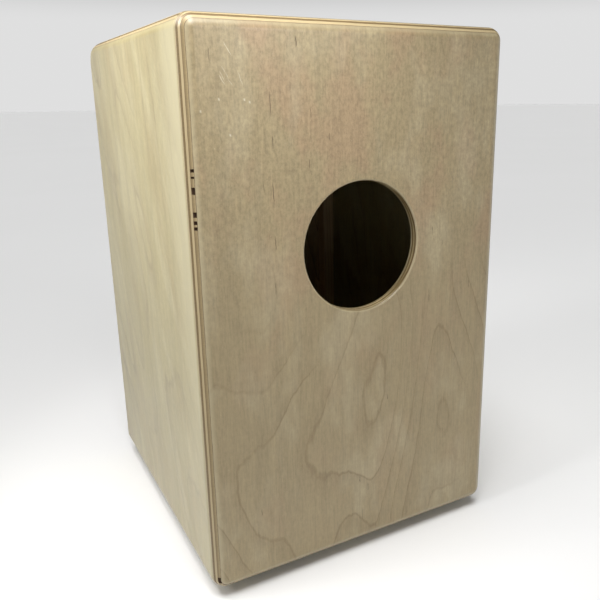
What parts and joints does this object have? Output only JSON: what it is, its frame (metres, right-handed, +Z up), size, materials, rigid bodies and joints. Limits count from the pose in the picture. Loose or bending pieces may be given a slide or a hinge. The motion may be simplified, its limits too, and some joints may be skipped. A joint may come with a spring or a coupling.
{
  "type": "cajon",
  "caption": "Plywood box drum that the player sits on, with a thin screwed playing face, a round sound hole in the rear panel and a tilting snare bar inside.",
  "frame": {"origin": "centre of the object's footprint, on the surface that the rubber feet stand on", "axes": "+Z up; the tapa faces -Y and the rear panel with the sound hole faces +Y; +X is the seated player's left"},
  "size_m": [0.303, 0.326, 0.489],
  "materials": {
    "rear_plywood": "satin birch-faced plywood, grey-tan, fine vertical grain, open plies at the rounded edge",
    "body_plywood": "satin birch-faced plywood, pale cream",
    "tapa_veneer": "satin straight-grained veneer",
    "pine": "sawn, unfinished",
    "beech": "planed, unfinished",
    "rubber": "matte moulded",
    "black_steel": "black oxide, satin",
    "zinc_steel": "bright zinc",
    "snare_steel": "bright drawn wire"
  },
  "bodies": {
    "cabinet": {"rear_panel": "rear_plywood", "tapa": "tapa_veneer", "side_panel_left": "body_plywood", "side_panel_right": "body_plywood", "top_panel": "body_plywood", "bottom_panel": "body_plywood", "front_top_rail": "beech", "front_batten_left": "pine", "front_batten_right": "pine", "front_batten_bottom": "pine", "rear_batten_left": "pine", "rear_batten_right": "pine", "rear_batten_bottom": "pine", "rear_batten_top": "pine", "tapa_screw_left_1": "black_steel", "tapa_screw_left_2": "black_steel", "tapa_screw_left_3": "black_steel", "tapa_screw_left_4": "black_steel", "tapa_screw_left_5": "black_steel", "tapa_screw_right_1": "black_steel", "tapa_screw_right_2": "black_steel", "tapa_screw_right_3": "black_steel", "tapa_screw_right_4": "black_steel", "tapa_screw_right_5": "black_steel", "tapa_screw_bottom_left": "black_steel", "tapa_screw_top_left": "black_steel", "tapa_screw_bottom_right": "black_steel", "tapa_screw_top_right": "black_steel", "foot_front_left": "rubber", "foot_rear_left": "rubber", "foot_front_right": "rubber", "foot_rear_right": "rubber", "foot_screw_front_left": "zinc_steel", "foot_screw_rear_left": "zinc_steel", "foot_screw_front_right": "zinc_steel", "foot_screw_rear_right": "zinc_steel", "snare_block_left": "beech", "snare_block_right": "beech", "snare_block_screw_left_lower": "zinc_steel", "snare_block_screw_left_upper": "zinc_steel", "snare_block_screw_right_lower": "zinc_steel", "snare_block_screw_right_upper": "zinc_steel"},
    "snare_carriage": {"snare_bar": "beech", "snare_set_left": "snare_steel", "snare_set_right": "snare_steel", "snare_screw_left_inner": "zinc_steel", "snare_screw_left_outer": "zinc_steel", "snare_screw_right_inner": "zinc_steel", "snare_screw_right_outer": "zinc_steel"}
  },
  "joints": [
    {"name": "snare_tilt", "type": "hinge", "parent": "cabinet", "child": "snare_carriage", "pos_m": [0, -0.1478, 0.355], "axis": [-1, 0, 0], "range_deg": [0, 20]}
  ]
}
